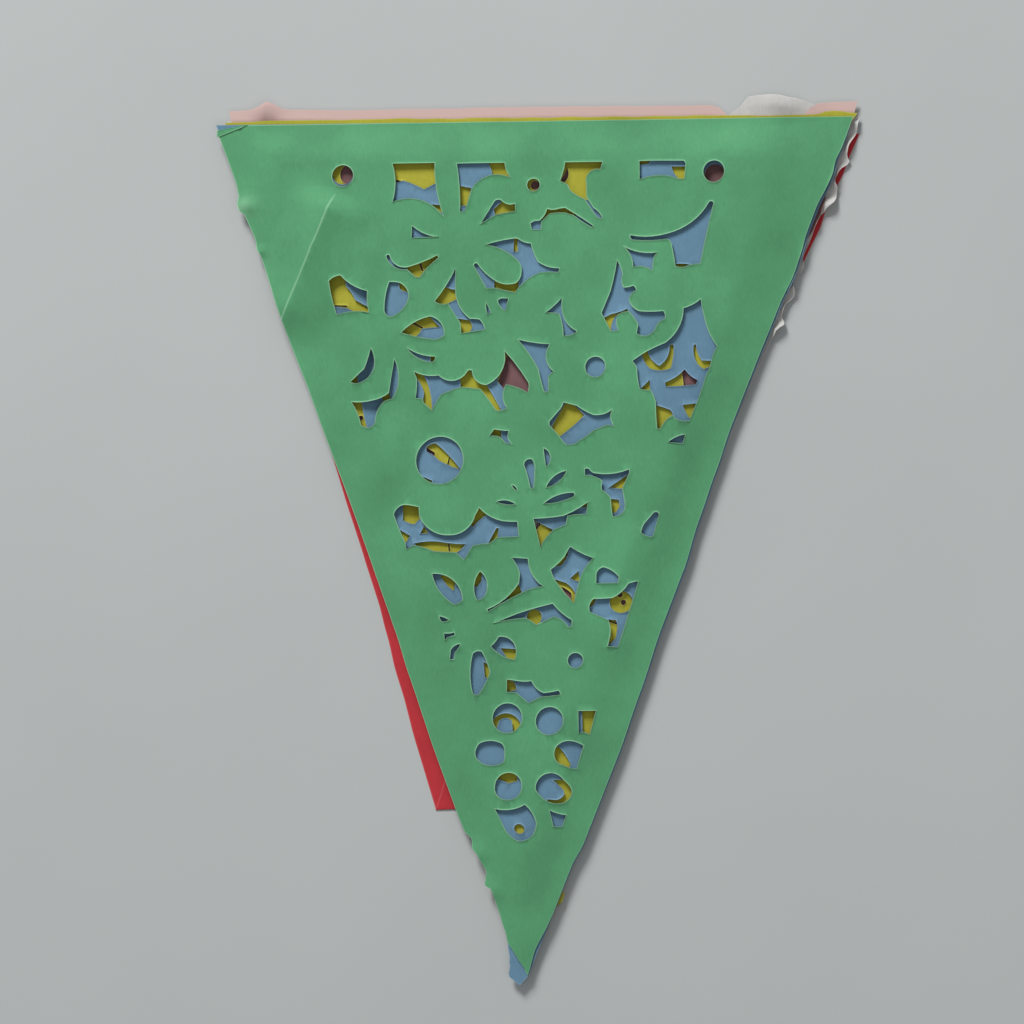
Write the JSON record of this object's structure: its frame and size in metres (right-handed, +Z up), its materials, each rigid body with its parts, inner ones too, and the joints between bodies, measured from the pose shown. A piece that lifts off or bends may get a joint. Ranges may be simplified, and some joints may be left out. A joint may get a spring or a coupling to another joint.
{
  "type": "papel picado banner",
  "caption": "Stack of triangular tissue-paper pennants with cut-out patterns and string holes at the top, lying flat, with a folded corner and a folded tip.",
  "frame": {"origin": "middle of the stack's box, on the surface that the stack lies on", "axes": "+X along the pennants' top edges, +Y from the tips to the top edges, +Z up through the stack, from the red sheet to the green one"},
  "size_m": [0.2122, 0.2846, 0.0029],
  "materials": {
    "green_paper": "matt tissue paper",
    "blue_paper": "matt tissue paper",
    "yellow_paper": "matt tissue paper",
    "pink_paper": "matt tissue paper",
    "white_paper": "matt tissue paper",
    "red_paper": "matt tissue paper"
  },
  "bodies": {
    "root": {"pennant_green": "green_paper", "pennant_blue": "blue_paper", "pennant_yellow": "yellow_paper", "pennant_pink": "pink_paper", "pennant_white": "white_paper", "pennant_red": "red_paper"}
  },
  "joints": []
}
